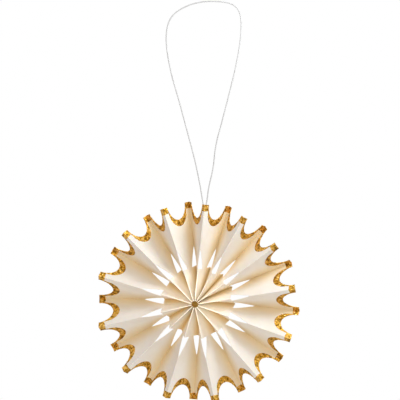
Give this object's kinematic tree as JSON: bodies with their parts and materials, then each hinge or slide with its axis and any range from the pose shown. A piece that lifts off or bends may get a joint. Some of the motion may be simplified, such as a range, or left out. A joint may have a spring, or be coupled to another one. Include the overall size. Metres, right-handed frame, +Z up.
{
  "type": "paper snowflake ornament",
  "caption": "Round pleated paper rosette with pierced darts, a scalloped gold glitter rim and a thread loop to hang it up.",
  "frame": {"origin": "top of the thread loop, at the middle of the thread, where a hook holds it", "axes": "+Z up, +Y towards the back of the rosette, +X to the right seen from the front"},
  "size_m": [0.121, 0.0212, 0.239],
  "materials": {
    "card": "matt cream card",
    "gold_glitter": "gold glitter coat",
    "glue": "set glue, slightly glossy",
    "thread": "twisted white thread"
  },
  "bodies": {
    "root": {"pleated_rosette": "card", "gold_edge": "gold_glitter", "hub_glue": "glue", "hanging_loop": "thread", "loop_knot": "thread", "knot_glue": "glue"}
  },
  "joints": []
}
